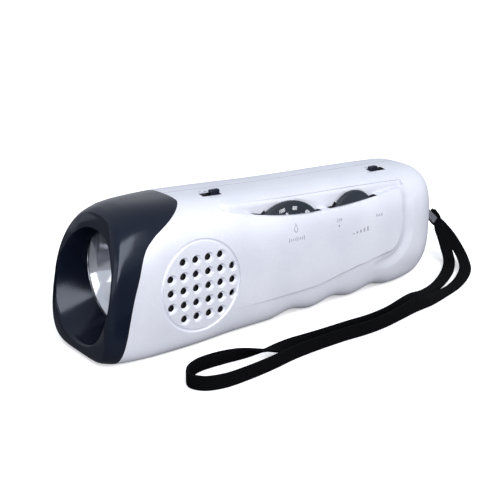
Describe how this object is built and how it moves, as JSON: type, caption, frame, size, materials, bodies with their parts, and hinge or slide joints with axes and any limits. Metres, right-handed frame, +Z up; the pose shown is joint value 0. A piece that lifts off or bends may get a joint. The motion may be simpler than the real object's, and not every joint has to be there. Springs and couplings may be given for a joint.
{
  "type": "flashlight radio",
  "caption": "Silver torch-shaped hand radio with a black lamp bezel, round speaker grille, two thumbwheels in a side ledge, two slide switches and a wrist strap.",
  "frame": {"origin": "middle of the bounding box of the casing at the surface it lies on, without the strap and its clip", "axes": "+X from the lamp to the tail, +Y to the battery door side, +Z up; the speaker grille faces -Y"},
  "size_m": [0.1983, 0.078, 0.0556],
  "materials": {
    "silver_plastic": "satin silver paint on moulded plastic",
    "black_plastic": "polished",
    "dark_plastic": "fine matt",
    "clear_lens": "clear moulded lens",
    "reflector_mirror": "metallised",
    "bulb_glass": "clear",
    "chrome": "bright plated",
    "steel": "zinc plated",
    "brass": "turned",
    "speaker_paper": "black pulp",
    "board_green": "coated laminate",
    "black_electronics": "moulded",
    "cream_plastic": "moulded",
    "ferrite": "sintered",
    "copper": "enamelled copper wire",
    "battery_sleeve": "printed sleeve without marks",
    "webbing": "flat woven cord"
  },
  "bodies": {
    "casing": {"front_bezel": "black_plastic", "lens": "clear_lens", "reflector": "reflector_mirror", "bulb": "bulb_glass", "bulb_holder": "black_electronics", "left_shell": "silver_plastic", "right_shell": "silver_plastic", "case_screw_1": "steel", "case_screw_2": "steel", "case_screw_3": "steel", "case_screw_4": "steel", "case_screw_5": "steel", "speaker_frame": "steel", "speaker_cone": "speaker_paper", "speaker_magnet": "steel", "circuit_board": "board_green", "tuning_capacitor": "cream_plastic", "volume_control": "black_electronics", "band_switch_case": "steel", "light_switch_case": "steel", "ferrite_rod": "ferrite", "aerial_coil": "copper", "front_rod_clip": "cream_plastic", "rear_rod_clip": "cream_plastic", "radio_chip": "black_electronics", "filter_capacitor": "black_electronics", "lower_battery": "battery_sleeve", "upper_battery": "battery_sleeve", "lower_contact": "steel", "lower_spring": "steel", "upper_contact": "steel", "upper_spring": "steel", "strap_pin": "steel", "strap_clip": "chrome", "wrist_strap": "webbing"},
    "tuning_wheel": {"tuning_shaft": "brass", "tuning_dial": "dark_plastic", "dial_screw": "steel"},
    "volume_thumbwheel": {"volume_shaft": "brass", "volume_wheel": "dark_plastic", "wheel_screw": "steel"},
    "band_knob": {"band_switch_knob": "black_plastic"},
    "light_knob": {"light_switch_knob": "black_plastic"},
    "door": {"battery_door": "silver_plastic"}
  },
  "joints": [
    {"name": "tuning_dial_turn", "type": "hinge", "parent": "casing", "child": "tuning_wheel", "pos_m": [-0.0022, -0.01764, 0.029], "axis": [0, 1, 0], "range_deg": [-90, 90]},
    {"name": "volume_wheel_turn", "type": "hinge", "parent": "casing", "child": "volume_thumbwheel", "pos_m": [0.0327, -0.01764, 0.0364], "axis": [0, 1, 0], "range_deg": [-150, 150]},
    {"name": "band_switch_slide", "type": "slide", "parent": "casing", "child": "band_knob", "axis": [1, 0, 0], "range_m": [-0.0035, 0]},
    {"name": "light_switch_slide", "type": "slide", "parent": "casing", "child": "light_knob", "axis": [1, 0, 0], "range_m": [0, 0.0035]},
    {"name": "battery_door_lift", "type": "slide", "parent": "casing", "child": "door", "axis": [0, 1, 0], "range_m": [0, 0.03]}
  ]
}
